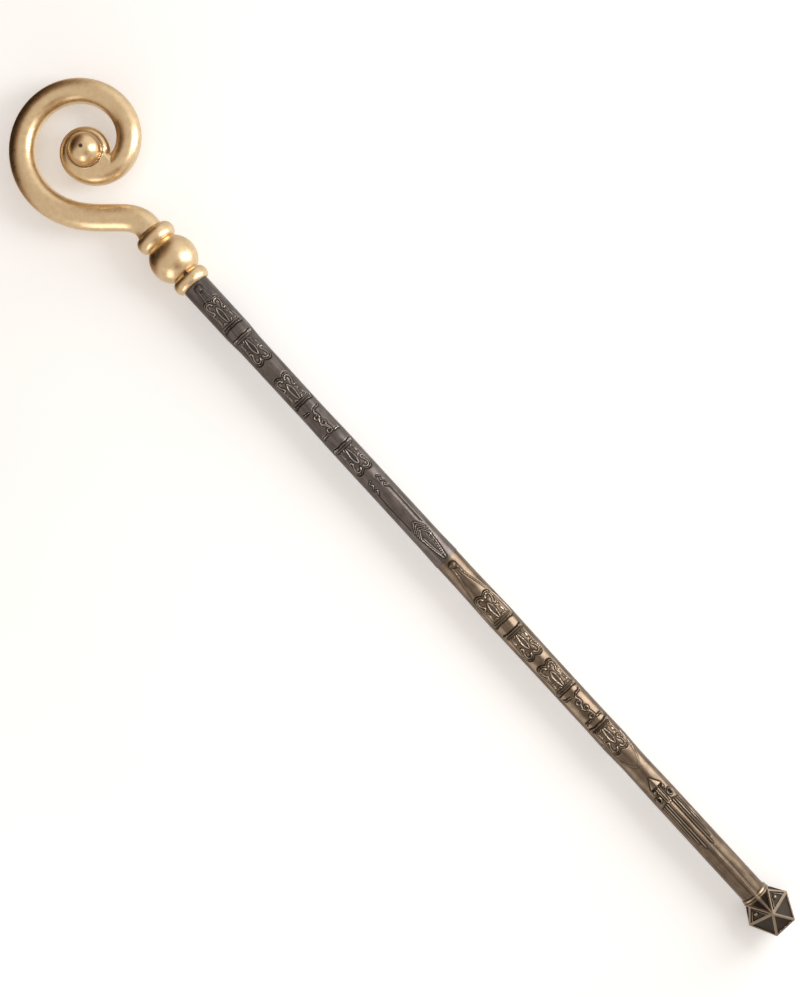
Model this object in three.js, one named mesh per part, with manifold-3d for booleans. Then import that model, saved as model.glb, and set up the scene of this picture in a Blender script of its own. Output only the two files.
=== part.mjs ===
// A bishop's crosier: a gilt crook with a ball knop, on a dark staff in two sections that ends in a faceted
// pommel. It lies face up. Millimetres, +Z up, +Y toward the crook. While it is built, zero is the middle of
// the joint between head and staff. The finished group is moved so that its origin is under the middle of its box.
import * as THREE from 'three';
import { ConvexGeometry } from 'three/addons/geometries/ConvexGeometry.js';
import { mergeVertices } from 'three/addons/utils/BufferGeometryUtils.js';
import Module from 'manifold-3d';

// Driving dimensions
const GAP = 0.3;                 // clearance between two sections that meet face to face
const REST_HEIGHT = 29.6;        // from the floor up to the axis of the staff
const LEAN = 2.8;                // degrees that the knop leans to the right of the staff

const EYE = { x: 12.9, y: 216.1 };  // middle of the volute
const EYE_TURN = 16.8;           // radius of the tube's centre line round the eye
const WIDE_TURN = 67.1;          // how much wider the outer turn is
const TURN_TILT = 3.6;           // the outer turn bulges by this much toward TURN_TILT_AT
const TURN_TILT_AT = 27;
const TURN_MIDDLE = -37.9;       // degrees at which the turn is half closed
const TURN_SPREAD = 107.5;       // degrees over which it closes
const STEM_TURN = 205;           // degrees at which the stem runs into the turn
const LAST_TURN = -150;          // degrees at which the tube ends inside the eye
const MEETING = -42;             // degrees at which the eye closes on the tube
const TUBE_STEM = 17.1;          // radius of the tube at the collar
const TUBE_EYE = 13.4;           // and where the eye closes, a full turn further in
const EYE_FACE = 15.2;           // half the thickness of the eye
const BOSS_RADIUS = 20.6;
const BOSS_CENTRE = 19.4;        // height of the middle of the boss
const BACK_BOSS = 25.5;          // how far the plainer boss on the back stands out

const LOWER_RING = { middle: 9.3, half: 9, neck: 17.6, bulge: 6.2 };
const BALL = { middle: 43.5, radius: 30.75 };
const UPPER_RING = { middle: 78, half: 10.6, neck: 18.2, bulge: 8 };
// The two screw holes in the face of the head: radius, place and height of the floor
const SCREW_HOLES = [
  { name: 'screw_knop', radius: 3.25, x: 0.8, y: 17, floor: 12 },
  { name: 'screw_boss', radius: 2.7, x: EYE.x - 0.5, y: EYE.y + 1, floor: BOSS_CENTRE + BOSS_RADIUS - 2.2 },
];
const SCREW_HEIGHT = 1.7;

const SEAM = -463;               // where the two sections of the staff meet
const STAFF_END = -1034;         // where the staff runs into the pommel
// Radius of the staff at distances along it, from the head to the pommel
const UPPER_PROFILE = [[0, 17.6], [-78, 17.4], [-100, 16], [-220, 15.6], [-262, 16.2], [-435, 16.4],
  [-463, 17.2]];
const LOWER_PROFILE = [[-463, 16.6], [-500, 16.6], [-560, 17.6], [-640, 16.9], [-735, 16.9], [-772, 17.3],
  [-806, 16.1], [-862, 16.7], [-1034, 16.8]];

// Where the scrolled end of each cartouche lies, and whether that end points to the head (1) or the foot (-1)
const UPPER_CARTOUCHES = [[-26, 1], [-130, -1], [-155, 1], [-314, -1]];
const LOWER_CARTOUCHES = [[-523, 1], [-627, -1], [-639, 1], [-785, -1]];
const STUD = { radius: 5, rise: 3 };
const STUDS = [-7.5, -473];

const POMMEL = { top: STAFF_END, widest: -1056, bottom: -1085, topHalf: 15.6, apex: 31.8, bottomHalf: 15.2,
  sunk: 1.4 };

const GOLD = new THREE.MeshStandardMaterial({ color: 0xcfa96b, roughness: 0.38, metalness: 0.9 });
const PEWTER = new THREE.MeshStandardMaterial({ color: 0x5a534f, roughness: 0.42, metalness: 0.8 });
const BRONZE = new THREE.MeshStandardMaterial({ color: 0x66584a, roughness: 0.42, metalness: 0.8 });
const STEEL = new THREE.MeshStandardMaterial({ color: 0x3b3129, roughness: 0.35, metalness: 0.9 });

const wasm = await Module();
wasm.setup();
const { Manifold, Mesh: SolidMesh } = wasm;
const radians = THREE.MathUtils.degToRad;

// A closed geometry as a solid that can be joined and cut
function solid(geometry) {
  const bare = new THREE.BufferGeometry();
  bare.setAttribute('position', geometry.getAttribute('position'));
  bare.setIndex(geometry.index);
  const merged = mergeVertices(bare, 1e-4);
  const vertProperties = Float32Array.from(merged.getAttribute('position').array);
  const triVerts = Uint32Array.from(merged.index.array);
  return new Manifold(new SolidMesh({ numProp: 3, vertProperties, triVerts }));
}

// A solid as a named mesh
function mesh(name, body, material) {
  const { vertProperties, triVerts } = body.getMesh();
  const geometry = new THREE.BufferGeometry();
  geometry.setAttribute('position', new THREE.BufferAttribute(vertProperties, 3));
  geometry.setIndex(new THREE.BufferAttribute(triVerts, 1));
  geometry.computeVertexNormals();
  const made = new THREE.Mesh(geometry, material);
  made.name = name;
  return made;
}

const join = (solids) => solids.reduce((all, next) => all.add(next));

// Moves every vertex of a geometry to where place(vertex) puts it
function reshape(geometry, place) {
  const position = geometry.getAttribute('position');
  const vertex = new THREE.Vector3();
  for (let i = 0; i < position.count; i += 1) {
    place(vertex.fromBufferAttribute(position, i));
    position.setXYZ(i, vertex.x, vertex.y, vertex.z);
  }
  return geometry;
}

// A capped tube along a line in the XY plane: at(t) gives the point, across and up are its two half widths
function sweep(at, sides, steps, across, up) {
  const tube = new THREE.CylinderGeometry(1, 1, 1, sides, steps);
  const step = 1e-3;
  return reshape(tube, (vertex) => {
    const t = vertex.y + 0.5;
    const along = at(Math.min(1, t + step)).sub(at(Math.max(0, t - step))).normalize();
    const middle = at(t);
    const side = vertex.x * across(t);
    vertex.set(middle.x + along.y * side, middle.y - along.x * side, vertex.z * up(t));
  });
}

// A turned body about the Y axis, from [height, radius] pairs that run toward +Y
function turned(profile, sides) {
  const outline = profile.map(([height, radius]) => new THREE.Vector2(radius, height));
  const ends = [new THREE.Vector2(0, profile[0][0]), new THREE.Vector2(0, profile.at(-1)[0])];
  return solid(new THREE.LatheGeometry([ends[0], ...outline, ends[1]], sides));
}

// ---------------------------------------------------------------------------------------------------- head

// Radius of the crook's centre line about the eye, at an angle in degrees
function turnRadius(angle) {
  const open = 0.5 + 0.5 * Math.tanh((angle - TURN_MIDDLE) / TURN_SPREAD);
  return EYE_TURN + open * (WIDE_TURN + TURN_TILT * Math.cos(radians(angle - TURN_TILT_AT)));
}

function turnPoint(angle) {
  const radius = turnRadius(angle);
  const turn = radians(angle);
  return new THREE.Vector2(EYE.x + radius * Math.cos(turn), EYE.y + radius * Math.sin(turn));
}

// Radius of the tube, which tapers evenly from the stem to where the eye closes
function tubeRadius(angle) {
  return THREE.MathUtils.mapLinear(angle, STEM_TURN, MEETING - 360, TUBE_STEM, TUBE_EYE);
}

// The stem is one S-shaped Bezier curve from the collar into the turn
const collar = new THREE.Vector2(2.5, 84);
const stemEnd = turnPoint(STEM_TURN);
const intoTurn = turnPoint(STEM_TURN - 1).sub(stemEnd).normalize();
const stem = new THREE.CubicBezierCurve(
  collar,
  new THREE.Vector2(collar.x + 13.6, collar.y + 40.5),
  stemEnd.clone().addScaledVector(intoTurn, -55.6),
  stemEnd,
);

function crook() {
  const stemShare = 0.2;
  const angleAt = (t) => THREE.MathUtils.mapLinear(Math.max(t, stemShare), stemShare, 1, STEM_TURN, LAST_TURN);
  const at = (t) => (t < stemShare ? stem.getPoint(t / stemShare) : turnPoint(angleAt(t)));
  const up = (t) => tubeRadius(angleAt(t));
  const across = (t) => up(t) - GAP * THREE.MathUtils.smoothstep(t, 0.8, 1);   // ends just inside the eye
  return solid(sweep(at, 14, 50, across, up));
}

// The eye is a flat disc with a round rim, whose outline runs on from the tube's last turn
function eye() {
  const rimSteps = 3;
  const flat = 0.56;
  const profile = [new THREE.Vector2(0, -1)];
  for (let i = 0; i <= 2 * rimSteps; i += 1) {
    const around = Math.PI * (i / (2 * rimSteps) - 0.5);
    profile.push(new THREE.Vector2(flat + (1 - flat) * Math.cos(around), Math.sin(around)));
  }
  profile.push(new THREE.Vector2(0, 1));
  const wedge = 42;                          // degrees in which the outline is hidden in the tube
  const outline = (angle) => turnRadius(angle) + tubeRadius(angle);
  return solid(reshape(new THREE.LatheGeometry(profile, 40), (vertex) => {
    const reach = Math.hypot(vertex.x, vertex.z);
    let angle = THREE.MathUtils.radToDeg(Math.atan2(-vertex.z, vertex.x));
    if (angle > MEETING) angle -= 360;
    const hidden = THREE.MathUtils.smoothstep(MEETING - angle, 0, wedge);
    const closing = THREE.MathUtils.lerp(outline(MEETING - 360), outline(MEETING - wedge), hidden);
    const edge = reach * (angle > MEETING - wedge ? closing : outline(angle));
    const turn = radians(angle);
    vertex.set(EYE.x + edge * Math.cos(turn), EYE.y + edge * Math.sin(turn), EYE_FACE * vertex.y);
  }));
}

function boss() {
  const front = solid(new THREE.SphereGeometry(BOSS_RADIUS, 18, 10)).translate([0, 0, BOSS_CENTRE]);
  const back = solid(new THREE.SphereGeometry(BOSS_RADIUS - 2, 14, 6).scale(1, 1, 0.55))
    .translate([0, 0, 0.55 * (BOSS_RADIUS - 2) - BACK_BOSS]);
  return join([front, back]).translate([EYE.x, EYE.y, 0]);
}

// Heights and radii of a ring with a round edge
function ringProfile({ middle, half, neck, bulge }, steps) {
  return Array.from({ length: steps + 1 }, (_, i) => {
    const around = Math.PI * (i / steps - 0.5);
    return [middle + half * Math.sin(around), neck + bulge * Math.cos(around)];
  });
}

function knop() {
  const foot = Math.asin((LOWER_RING.middle + LOWER_RING.half - BALL.middle) / BALL.radius);
  const crown = Math.asin((UPPER_RING.middle - UPPER_RING.half - BALL.middle) / BALL.radius);
  const steps = 8;
  const ball = Array.from({ length: steps - 1 }, (_, i) => {
    const around = THREE.MathUtils.lerp(foot, crown, (i + 1) / steps);
    return [BALL.middle + BALL.radius * Math.sin(around), BALL.radius * Math.cos(around)];
  });
  const outline = [...ringProfile(LOWER_RING, 6), ...ball, ...ringProfile(UPPER_RING, 6)];
  return turned(outline, 22).rotate([0, 0, -LEAN]);
}

// A big block, for trimming what sticks out of a piece
function block(size, middle) {
  return solid(new THREE.BoxGeometry(...size)).translate(middle);
}

// A round bar that stands on a screw hole's floor
function bar({ x, y, floor }, radius, height) {
  const upright = new THREE.CylinderGeometry(radius, radius, height, 10).rotateX(Math.PI / 2);
  return solid(upright.translate(x, y, floor + height / 2));
}

// A domed screw head that nearly fills its hole, with a slot across it
function screw(hole) {
  const radius = hole.radius - GAP;
  const flank = 0.4;
  const dome = new THREE.LatheGeometry([
    new THREE.Vector2(0, 0),
    new THREE.Vector2(radius, 0),
    new THREE.Vector2(radius, flank * SCREW_HEIGHT),
    new THREE.Vector2(0.7 * radius, 0.85 * SCREW_HEIGHT),
    new THREE.Vector2(0, SCREW_HEIGHT),
  ], 10).rotateX(Math.PI / 2);
  const slot = new THREE.BoxGeometry(3 * radius, 0.25 * radius, SCREW_HEIGHT).rotateZ(radians(35));
  slot.translate(hole.x, hole.y, hole.floor + GAP + 1.1 * SCREW_HEIGHT);
  return solid(dome.translate(hole.x, hole.y, hole.floor + GAP)).subtract(solid(slot));
}

function head() {
  const holes = join(SCREW_HOLES.map((hole) => bar(hole, hole.radius, 30)));
  const underStaffTop = block([90, 20, 90], [0, GAP - 10, 0]);
  const underRest = block([90, 120, 20], [0, 45, -REST_HEIGHT - 10]);
  return join([knop(), crook(), eye(), boss()]).subtract(holes).subtract(underStaffTop).subtract(underRest);
}

// --------------------------------------------------------------------------------------------------- staff

// Radius of a staff profile at a distance along it
function radiusAt(profile, y) {
  const next = profile.findIndex(([place]) => place <= y);
  if (next <= 0) return profile[Math.max(next, 0)][1];
  const [[y0, r0], [y1, r1]] = [profile[next - 1], profile[next]];
  return THREE.MathUtils.mapLinear(y, y0, y1, r0, r1);
}

// Bends a flat shape round the staff: x is the distance round it from the front, z the height over it
function wrap(geometry, profile) {
  return reshape(geometry, (vertex) => {
    const radius = radiusAt(profile, vertex.y);
    const angle = vertex.x / radius;
    const reach = radius + vertex.z;
    vertex.set(reach * Math.sin(angle), vertex.y, reach * Math.cos(angle));
  });
}

// A raised line with a sharp crest through [x, y] points laid flat on the staff
function bead(points, steps, width = 1.7, rise = 0.8) {
  const curve = new THREE.SplineCurve(points.map(([x, y]) => new THREE.Vector2(x, y)));
  return sweep((t) => curve.getPoint(t), 3, steps, () => width / Math.sqrt(3), () => rise);
}

// Both hands of a shape that is given for the right-hand side only
function pair(points, steps, width, rise) {
  const mirrored = points.map(([x, y]) => [-x, y]);
  return [bead(points, steps, width, rise), bead(mirrored, steps, width, rise)];
}

// The scrolled cartouche, drawn from its scrolled end at zero to its foot
const CARTOUCHE_EDGE = [[0.6, 3.4], [5.4, 0.2], [11.4, 2], [13.2, 9], [11.6, 19], [10.6, 28], [11.6, 36],
  [15.6, 41.2], [14.6, 45], [7, 44], [0.4, 44.4]];
const CARTOUCHE_SCROLL = [[2.4, 8], [3.6, 4.6], [7.6, 3.6], [10, 7.4], [9, 12.6], [7, 16.6], [8.2, 19.6],
  [10.4, 18]];
const CARTOUCHE_FOOT = [[-12, 39.6], [12, 39.6]];

function cartouche([end, way]) {
  const place = (points) => points.map(([x, y]) => [x, end - way * y]);
  return [
    ...pair(place(CARTOUCHE_EDGE), 7),
    ...pair(place(CARTOUCHE_SCROLL), 4, 1.5, 0.7),
    bead(place(CARTOUCHE_FOOT), 1, 1.3, 0.6),
  ];
}

// A curl of foliage that ends in a small ring
function curl(x, y, hand, size) {
  const coil = Array.from({ length: 7 }, (_, i) => {
    const turn = radians(150 - 60 * i);
    const reach = size * (0.55 + 0.08 * i);
    return [x + hand * reach * Math.cos(turn), y + reach * Math.sin(turn)];
  });
  return bead([...coil, [x - hand * size * 0.4, y + 2.1 * size]], 5, 1.4, 0.8);
}

// A chain of three curls between two pairs of short brackets
function filigree(from, to) {
  const length = from - to;
  const bracket = (y) => pair([[6, y], [12.4, y]], 1, 1.9, 0.9);
  const curls = [[-0.5, 0.3, -1], [2.2, 0.56, 1], [0.8, 0.86, -1]];
  return [
    ...bracket(from - 1),
    ...bracket(to + 1.5),
    ...curls.map(([x, share, hand]) => curl(x, from - share * length, hand, 4.2)),
  ];
}

function domes(places, radius, rise, radiusOf) {
  return places.map(([angle, y]) => solid(new THREE.SphereGeometry(1, 10, 6).scale(radius, radius, rise))
    .translate([0, 0, radiusOf(y) - 0.3])
    .rotate([0, angle, 0])
    .translate([0, y, 0]));
}

// Pieces of relief wrapped round the front of a staff
function relief(profile, lines) {
  return lines.map((line) => solid(wrap(line, profile)));
}

// Two lines that leave a stud and run down the sides of the staff
function archLines(from) {
  const line = [[3.4, from], [5.4, from - 18], [12, from - 42], [17, from - 60], [19, from - 92]];
  return pair(line, 3, 1.5, 0.6);
}

function ribbonPanel() {
  return pair([[9.8, -349], [9.8, -375], [9.4, -405]], 1, 1.3, 0.6);
}

// A leaf with a barbed head and a long serrated blade
function fletchedLeaf() {
  const head = -402;
  const spacing = 4.6;
  const barbs = [0, 1, 2].flatMap((i) => {
    const start = head - spacing * i;
    return pair([[0.8, start], [8.6 - 0.4 * i, start - 12]], 1, 1.5, 0.9);
  });
  return [...barbs, ...pair([[6.6, -423], [4.4, -442], [1.2, -459]], 1, 2, 1)];
}

function smallCurls() {
  return [...pair([[5.4, -328], [8.6, -330], [6.2, -334], [9.2, -338]], 3, 1.4, 0.8),
    ...pair([[9, -340], [6, -341.5], [8.8, -346]], 2, 1.4, 0.8)];
}

function upperStaff() {
  const profile = UPPER_PROFILE;
  const body = turned([...profile].reverse(), 18);
  const lines = [...UPPER_CARTOUCHES.flatMap(cartouche), ...filigree(-212, -251), ...archLines(-9),
    ...ribbonPanel(), ...fletchedLeaf(), ...smallCurls()];
  const studs = domes([[0, STUDS[0]], [180, STUDS[0]]], STUD.radius, STUD.rise, (y) => radiusAt(profile, y));
  return join([body, ...relief(profile, lines), ...studs]).subtract(block([90, 20, 90], [0, 10, 0]));
}

// A spearhead whose ridge runs on down the staff, with flutes beside it
function spear() {
  const point = -832;
  const base = -846;
  const ridge = [[0, point - 2], [0, POMMEL.top + 4]];
  const top = -872;
  const flutes = [4.2, 7.4, 10.4].flatMap((x, i) => {
    const end = -938 + 6 * i;
    return pair([[x, top], [x * 1.05, -900], [x * 1.1, end]], 1, 1.9, 0.7);
  });
  return [bead(ridge, 1, 5, 2.6), ...flutes, ...pair([[1.2, point], [8, base]], 1, 2.2, 1.6),
    ...pair([[8, base], [2, base - 0.6]], 1, 2, 1.6)];
}

// Rings with a sunk middle beside the ridge, as small open coils
function rosettes() {
  const ring = (x, y, size) => bead(Array.from({ length: 9 }, (_, i) => {
    const turn = radians(45 * i);
    return [x + size * Math.cos(turn), y + size * Math.sin(turn)];
  }), 6, 1.6, 0.9);
  return [1, -1].map((hand) => ring(9.4 * hand, -864, 3.4));
}

function lowerArches() {
  return [...archLines(STUDS[1] - 2), ...pair([[17, -765], [14, -790], [7, -806], [0.8, -813]], 2, 1.5, 0.6)];
}

// A wedge that sinks a panel into a triangular face and leaves a rib along each of its edges
function panel(corners) {
  const centre = corners.reduce((sum, corner) => sum.add(corner), new THREE.Vector3()).divideScalar(3);
  const outward = new THREE.Plane().setFromCoplanarPoints(...corners).normal;
  if (outward.dot(centre.clone().sub(new THREE.Vector3(0, POMMEL.widest, 0))) < 0) outward.negate();
  const inner = corners.map((corner) => corner.clone().lerp(centre, 0.3));
  const floor = inner.map((corner) => corner.clone().addScaledVector(outward, -POMMEL.sunk));
  const lid = inner.map((corner) => corner.clone().addScaledVector(outward, 1));
  return solid(new ConvexGeometry([...floor, ...lid]));
}

// The pommel is a square prism with a low pyramid on each side. Its faces are sunk panels, four with a boss
function pommel() {
  const turnedBy = (point, turn) => point.applyAxisAngle(new THREE.Vector3(0, 1, 0), turn * Math.PI / 2);
  const sides = [0, 1, 2, 3];
  const corners = (half, y) => sides.map((turn) => turnedBy(new THREE.Vector3(half, y, half), turn));
  const top = corners(POMMEL.topHalf, POMMEL.top);
  const bottom = corners(POMMEL.bottomHalf, POMMEL.bottom);
  const middle = sides.map((turn) => turnedBy(new THREE.Vector3(0, POMMEL.widest, POMMEL.apex), turn));
  const core = solid(new ConvexGeometry([...top, ...middle, ...bottom]));
  const faces = sides.flatMap((i) => {
    const next = (i + 1) % 4;
    return [
      [top[i], top[(i + 3) % 4], middle[i]],
      [top[i], middle[i], middle[next]],
      [bottom[i], middle[i], middle[next]],
      [bottom[i], bottom[(i + 3) % 4], middle[i]],
    ];
  });
  const sunk = faces.reduce((body, face) => body.subtract(panel(face)), core);
  const bosses = faces.filter((_, i) => i % 4 === 1).map((face) => {
    const spot = face.reduce((sum, corner) => sum.add(corner), new THREE.Vector3()).divideScalar(3);
    return solid(new THREE.SphereGeometry(3, 8, 5)).translate(spot.toArray());
  });
  const band = [[-3, 17], [0, 19.4], [4.5, 18.6], [6.5, 16]];
  const ring = turned(band.map(([rise, radius]) => [POMMEL.top + rise, radius]), 18);
  const ridge = [0, 180].map((turn) => solid(new ConvexGeometry([
    new THREE.Vector3(-2.4, POMMEL.top + 8, 15),
    new THREE.Vector3(2.4, POMMEL.top + 8, 15),
    new THREE.Vector3(0, POMMEL.top + 8, 19.4),
    new THREE.Vector3(-1.6, POMMEL.widest, 29.5),
    new THREE.Vector3(1.6, POMMEL.widest, 29.5),
    new THREE.Vector3(0, POMMEL.widest, POMMEL.apex + 0.6),
  ])).rotate([0, turn, 0]));
  return join([sunk, ring, ...bosses, ...ridge]);
}

function lowerStaff() {
  const profile = LOWER_PROFILE;
  const body = turned([...profile].reverse(), 18);
  const lines = [...LOWER_CARTOUCHES.flatMap(cartouche), ...filigree(-692, -733), ...lowerArches(),
    ...spear(), ...rosettes()];
  const studs = domes([[0, STUDS[1]], [180, STUDS[1]]], STUD.radius, STUD.rise, (y) => radiusAt(profile, y));
  const underRest = block([90, 120, 20], [0, -1060, -REST_HEIGHT - 10]);
  const overSeam = block([90, 20, 90], [0, SEAM - GAP + 10, 0]);
  return join([body, ...relief(profile, lines), ...studs, pommel()]).subtract(underRest).subtract(overSeam);
}

// ---------------------------------------------------------------------------------------------------- group

const crosier = new THREE.Group();
crosier.add(mesh('crook_head', head(), GOLD));
SCREW_HOLES.forEach((hole) => crosier.add(mesh(hole.name, screw(hole), STEEL)));
crosier.add(mesh('staff_upper', upperStaff(), PEWTER));
crosier.add(mesh('staff_lower', lowerStaff(), BRONZE));

const bounds = new THREE.Box3().setFromObject(crosier);
const middle = bounds.getCenter(new THREE.Vector3());
crosier.position.set(-middle.x, -middle.y, -bounds.min.z);

export default crosier;
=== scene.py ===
# %% [markdown]
# # A bishop's crosier
# The real object is moulded plastic with a metal look: a gilt crook with a ball knop, and a dark staff in
# two sections that ends in a faceted pommel. The CAD model gives every main size. This lesson dresses it:
# each cell makes one piece or one finish. The frame is loaded first, because every size that follows is
# read from it.

# %% Load the frame
import math
import bmesh
import bpy
import numpy as np
from mathutils import Matrix, Vector


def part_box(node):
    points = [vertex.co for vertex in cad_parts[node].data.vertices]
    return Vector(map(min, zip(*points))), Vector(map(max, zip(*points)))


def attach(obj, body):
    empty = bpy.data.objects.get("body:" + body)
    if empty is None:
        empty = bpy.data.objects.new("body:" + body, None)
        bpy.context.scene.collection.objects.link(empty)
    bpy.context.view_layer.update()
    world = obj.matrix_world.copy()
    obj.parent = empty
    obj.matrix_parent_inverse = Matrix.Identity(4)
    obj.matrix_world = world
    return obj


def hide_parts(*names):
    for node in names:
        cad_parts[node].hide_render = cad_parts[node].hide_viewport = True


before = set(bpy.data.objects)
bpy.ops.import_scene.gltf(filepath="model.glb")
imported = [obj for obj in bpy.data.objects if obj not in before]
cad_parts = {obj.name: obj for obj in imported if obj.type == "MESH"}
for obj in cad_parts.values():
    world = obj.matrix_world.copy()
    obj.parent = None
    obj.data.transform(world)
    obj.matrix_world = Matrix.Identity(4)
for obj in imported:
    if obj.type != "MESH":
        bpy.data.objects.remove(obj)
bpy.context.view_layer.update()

print("pieces of the frame:", sorted(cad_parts))

# %% [markdown]
# The pieces are drawn in millimetres round the axis of the staff, with zero at the joint between head and
# staff. That is how a maker would measure a turned staff. The upper section tells where this axis is, and
# one matrix takes a finished mesh from there to metres in the shared frame.

# %% Find the axis of the staff
upper_low, upper_high = (np.array(corner) * 1000 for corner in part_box("staff_upper"))
lower_low, lower_high = (np.array(corner) * 1000 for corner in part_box("staff_lower"))
AXIS = Vector(((upper_low[0] + upper_high[0]) / 2, upper_high[1], (upper_low[2] + upper_high[2]) / 2))
REST = AXIS.z                                   # height of the axis over the floor
SEAM = upper_low[1] - AXIS.y                    # where the two sections of the staff meet
GAP = upper_low[1] - lower_high[1]              # clearance between sections
TO_FRAME = Matrix.Scale(0.001, 4) @ Matrix.Translation(AXIS)
EYE = Vector((12.9, 216.1))                     # middle of the crook's eye
print("axis", [round(value, 2) for value in AXIS], "seam", round(SEAM, 2), "gap", round(GAP, 2))

# %% [markdown]
# The camera stands high over the floor and looks straight down on the crosier, turned so that the head lies
# at the upper left. A longer lens keeps the perspective calm, as a studio photographer would for a long
# object.

# %% Camera
CAMERA_HEIGHT = 2.36                            # metres over the axis of the staff
LOOK_ACROSS, LOOK_ALONG = 7.92, -368.03         # the point under the camera, from the joint
CAMERA_TURN = math.radians(-42.58)              # lays the head at the upper left
camera = bpy.data.objects.new("camera", bpy.data.cameras.new("camera"))
bpy.context.collection.objects.link(camera)
camera.data.lens = 68.2
camera.data.sensor_width = 36
camera.location = ((AXIS.x + LOOK_ACROSS) / 1000, (AXIS.y + LOOK_ALONG) / 1000, REST / 1000 + CAMERA_HEIGHT)
camera.rotation_euler = (0, 0, CAMERA_TURN)
bpy.context.scene.camera = camera
print("camera", [round(value, 3) for value in camera.location])

# %% [markdown]
# Six helpers are used again and again. One takes a finished bmesh to the frame and makes it an object, one
# evaluates modifiers once and keeps the result, and one gives the piece its finish and smooth shading, hangs
# it on the root and hides the CAD piece that it replaces. The other three join a part to a bmesh, turn an
# outline on the axis, as a lathe would, and make the closed solid that wraps a few corners.

# %% Helpers that turn a bmesh into a piece
def piece_from(bm, name, to_frame=True):
    if to_frame:
        bmesh.ops.transform(bm, matrix=TO_FRAME, verts=bm.verts)
    mesh = bpy.data.meshes.new(name)
    bm.to_mesh(mesh)
    bm.free()
    piece = bpy.data.objects.new(name, mesh)
    bpy.context.collection.objects.link(piece)
    return piece


def evaluated(piece):
    bm = bmesh.new()
    bm.from_object(piece, bpy.context.evaluated_depsgraph_get())
    bpy.data.objects.remove(piece)
    return bm


def dress(piece, node, material, sharp=40):
    piece.data.materials.append(material)
    piece.data.shade_smooth()
    piece.data.set_sharp_from_angle(angle=math.radians(sharp))
    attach(piece, "root")
    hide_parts(node)
    print(piece.name, len(piece.data.polygons), "faces")


def join(bm, part):
    """Adds the part to bm, and returns the vertices that it brought."""
    mesh = bpy.data.meshes.new("part")
    part.to_mesh(mesh)
    part.free()
    count = len(bm.verts)
    bm.from_mesh(mesh)
    bpy.data.meshes.remove(mesh)
    bm.verts.ensure_lookup_table()
    return bm.verts[count:]


def turned(outline, steps, closed=False):
    """Turns an outline of radius and height round the axis."""
    bm = bmesh.new()
    points = [bm.verts.new((radius, height, 0)) for radius, height in outline]
    ends = points[1:] + points[:1] if closed else points[1:]
    edges = [bm.edges.new(pair) for pair in zip(points, ends)]
    bmesh.ops.spin(bm, geom=points + edges, axis=(0, 1, 0), cent=(0, 0, 0), angle=2 * math.pi, steps=steps,
                   use_merge=True)
    bmesh.ops.remove_doubles(bm, verts=bm.verts, dist=1e-4)
    bmesh.ops.recalc_face_normals(bm, faces=bm.faces)
    return bm


def closed_hull(corners):
    bm = bmesh.new()
    for corner in corners:
        bm.verts.new(corner)
    bmesh.ops.convex_hull(bm, input=bm.verts)
    bmesh.ops.recalc_face_normals(bm, faces=bm.faces)
    return bm


print("helpers ready")

# %% [markdown]
# A finish is a node tree. Sums on sockets are easier to read as Python, so a small class wraps a socket and
# each operator adds its Math node. Every other node comes from one method: its type, its settings, then its
# sockets.

# %% Shader maths
class Socket:
    def __init__(self, tree, output):
        self.tree, self.output = tree, output

    def maths(self, operation, first, second):
        return self.tree.maths(operation, first, second)

    def __add__(self, other):
        return self.maths("ADD", self, other)

    def __sub__(self, other):
        return self.maths("SUBTRACT", self, other)

    def __rsub__(self, other):
        return self.maths("SUBTRACT", other, self)

    def __mul__(self, other):
        return self.maths("MULTIPLY", self, other)


class Tree:
    def __init__(self, owner):
        owner.use_nodes = True
        self.nodes, self.links = owner.node_tree.nodes, owner.node_tree.links
        self.nodes.clear()

    def node(self, kind, settings=None, sockets=None, output=0):
        node = self.nodes.new(kind)
        for name, value in (settings or {}).items():
            setattr(node, name, value)
        for name, value in (sockets or {}).items():
            if isinstance(value, Socket):
                self.links.new(value.output, node.inputs[name])
            else:
                node.inputs[name].default_value = value
        return Socket(self, node.outputs[output]) if len(node.outputs) else None

    def maths(self, operation, first, second=0.0):
        return self.node("ShaderNodeMath", {"operation": operation}, {0: first, 1: second})

    def between(self, value, low, high, out_low=0.0, out_high=1.0):
        sockets = {"Value": value, "From Min": low, "From Max": high, "To Min": out_low, "To Max": out_high}
        return self.node("ShaderNodeMapRange", {"interpolation_type": "SMOOTHSTEP"}, sockets)

    def blend(self, factor, first, second):
        sockets = {"Factor": factor, 6: first, 7: second}
        return self.node("ShaderNodeMix", {"data_type": "RGBA"}, sockets, output=2)

    def noise(self, vector, scale, detail, roughness):
        sockets = {"Vector": vector, "Scale": scale, "Detail": detail, "Roughness": roughness}
        return self.node("ShaderNodeTexNoise", None, sockets)

    def bump(self, height, strength, distance, **normal):
        sockets = {"Strength": strength, "Distance": distance, "Height": height}
        return self.node("ShaderNodeBump", None, {**sockets, **normal})

    def shader(self, **sockets):
        named = {name.replace("_", " "): value for name, value in sockets.items()}
        surface = self.node("ShaderNodeBsdfPrincipled", None, named)
        self.node("ShaderNodeOutputMaterial", None, {"Surface": surface})


def colour(red, green, blue):
    """A colour as paint charts give it, 11 to 255, in the renderer's linear light."""
    return tuple(((value / 255 + 0.055) / 1.055) ** 2.4 for value in (red, green, blue)) + (1.0,)


print("shader maths ready")
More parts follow.
